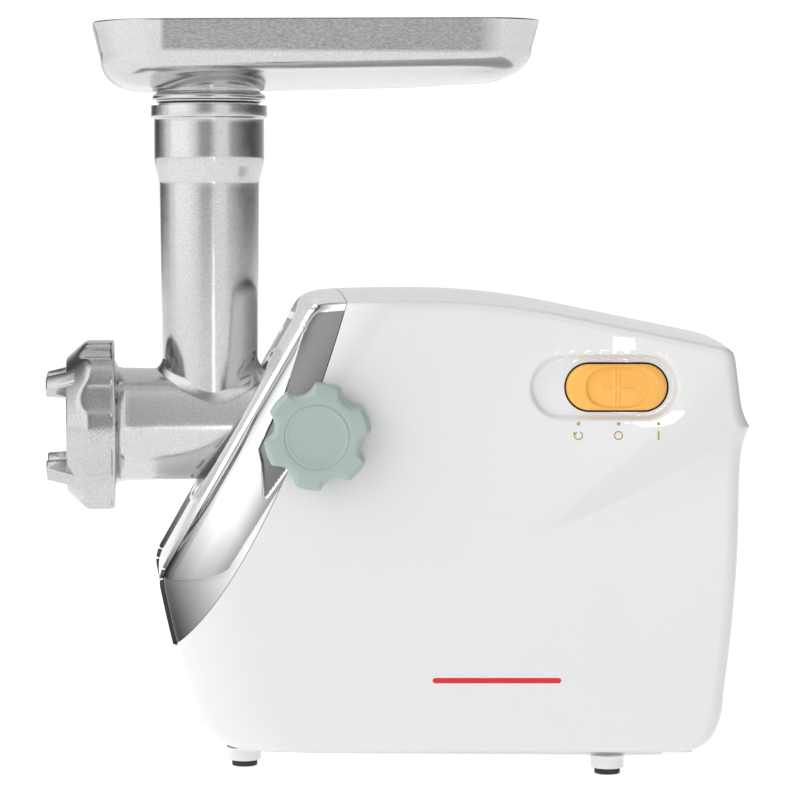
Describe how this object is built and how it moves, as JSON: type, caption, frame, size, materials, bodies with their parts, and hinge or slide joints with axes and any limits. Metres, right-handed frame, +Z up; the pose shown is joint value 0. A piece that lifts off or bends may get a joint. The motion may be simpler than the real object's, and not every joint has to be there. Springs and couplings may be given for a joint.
{
  "type": "electric meat grinder",
  "caption": "Countertop electric meat grinder: white motor housing with chrome corner trims, rocker switch and clamp knob, cast head with feed tube, ring nut and food tray.",
  "frame": {"origin": "on the standing surface, under the middle of the whole object", "axes": "+Z up; -X is the front, where the ring nut points; the switch and the clamp knob are on the -Y side"},
  "size_m": [0.341, 0.1766, 0.367],
  "materials": {
    "white_plastic": "gloss white moulded ABS",
    "chrome_trim": "mirror chrome plating",
    "cast_aluminium": "satin, fine cast grain",
    "steel": "ground",
    "green_plastic": "gloss sage green",
    "yellow_plastic": "gloss orange-yellow",
    "black_rubber": "matte moulded rubber",
    "black_plastic": "fine textured",
    "brass": "turned",
    "copper": "enamelled winding",
    "nylon": "moulded gear nylon",
    "carbon": "pressed carbon"
  },
  "bodies": {
    "housing": {"main_housing": "white_plastic", "front_fascia": "white_plastic", "trim_switch_side": "chrome_trim", "trim_far_side": "chrome_trim", "base_plate": "white_plastic", "foot_pad_front_near": "black_rubber", "foot_pad_front_far": "black_rubber", "foot_pad_rear_near": "black_rubber", "foot_pad_rear_far": "black_rubber", "rear_grille": "white_plastic", "cord_gland": "black_rubber", "switch_body": "black_plastic", "clamp_bush": "brass", "head_socket": "cast_aluminium", "gear_pin_second": "steel", "gear_pin_first": "steel", "front_gear_plate": "steel", "rear_gear_plate": "steel", "drive_bearing_front": "brass", "drive_bearing_rear": "brass", "stator_core": "steel", "field_coil_upper": "copper", "field_coil_lower": "copper", "brush_holder_near": "brass", "brush_holder_far": "brass", "carbon_brush_near": "carbon", "carbon_brush_far": "carbon", "motor_end_frame": "black_plastic", "motor_bearing_front": "brass", "motor_bearing_rear": "brass"},
    "clamp_pad": {"clamp_pad": "brass"},
    "clamp_knob": {"clamp_knob": "green_plastic", "clamp_screw": "steel"},
    "head": {"head_casting": "cast_aluminium", "screw_bushing": "nylon"},
    "plate": {"cutting_plate": "steel"},
    "nut": {"ring_nut": "cast_aluminium"},
    "feed_screw": {"feed_screw": "cast_aluminium", "cross_blade": "steel"},
    "tray": {"food_tray": "cast_aluminium"},
    "rocker": {"switch_rocker": "yellow_plastic"},
    "rotor": {"rotor_core": "steel", "rotor_shaft": "steel", "commutator": "copper", "cooling_fan": "black_plastic", "motor_pinion": "steel"},
    "first_gear": {"first_gear": "nylon"},
    "second_gear": {"second_gear": "nylon"},
    "drive": {"drive_shaft": "steel", "output_gear": "nylon"}
  },
  "joints": [
    {"name": "rocker_tip", "type": "hinge", "parent": "housing", "child": "rocker", "pos_m": [0.10211, -0.07921, 0.1894], "axis": [0, 0, 1], "range_deg": [-7, 7]},
    {"name": "clamp_travel", "type": "slide", "parent": "housing", "child": "clamp_pad", "axis": [-0.1025, -0.9947, 0], "range_m": [0, 0.008]},
    {"name": "clamp_turn", "type": "hinge", "parent": "clamp_pad", "child": "clamp_knob", "pos_m": [-0.0403, -0.06756, 0.167], "axis": [-0.1025, -0.9947, 0], "range_deg": [0, 1440]},
    {"name": "head_pull", "type": "slide", "parent": "housing", "child": "head", "axis": [-1, 0, 0], "range_m": [0, 0.08]},
    {"name": "tray_lift", "type": "slide", "parent": "head", "child": "tray", "axis": [0, 0, 1], "range_m": [0, 0.06]},
    {"name": "plate_travel", "type": "slide", "parent": "head", "child": "plate", "axis": [-1, 0, 0], "range_m": [0, 0.016]},
    {"name": "nut_turn", "type": "hinge", "parent": "plate", "child": "nut", "pos_m": [-0.1495, 0, 0.167], "axis": [-1, 0, 0], "range_deg": [0, 1440]},
    {"name": "motor_spin", "type": "hinge", "parent": "housing", "child": "rotor", "pos_m": [0.0605, -0.00033, 0.05874], "axis": [1, 0, 0], "continuous": true},
    {"name": "first_gear_turn", "type": "hinge", "parent": "housing", "child": "first_gear", "pos_m": [0.0205, -0.00849, 0.09406], "axis": [1, 0, 0], "continuous": true},
    {"name": "second_gear_turn", "type": "hinge", "parent": "housing", "child": "second_gear", "pos_m": [0.0105, 0.02113, 0.12169], "axis": [1, 0, 0], "continuous": true},
    {"name": "drive_turn", "type": "hinge", "parent": "housing", "child": "drive", "pos_m": [0.0005, 0, 0.167], "axis": [1, 0, 0], "continuous": true},
    {"name": "screw_turn", "type": "hinge", "parent": "head", "child": "feed_screw", "pos_m": [-0.0895, 0, 0.167], "axis": [1, 0, 0], "continuous": true}
  ],
  "couplings": [
    {"joint": "clamp_travel", "follows": "clamp_turn", "m_per_rad": 0.00031831},
    {"joint": "plate_travel", "follows": "nut_turn", "m_per_rad": 0.00063662},
    {"joint": "first_gear_turn", "follows": "motor_spin", "ratio": -0.20833},
    {"joint": "second_gear_turn", "follows": "motor_spin", "ratio": 0.047348},
    {"joint": "drive_turn", "follows": "motor_spin", "ratio": -0.011837},
    {"joint": "screw_turn", "follows": "motor_spin", "ratio": -0.011837}
  ]
}
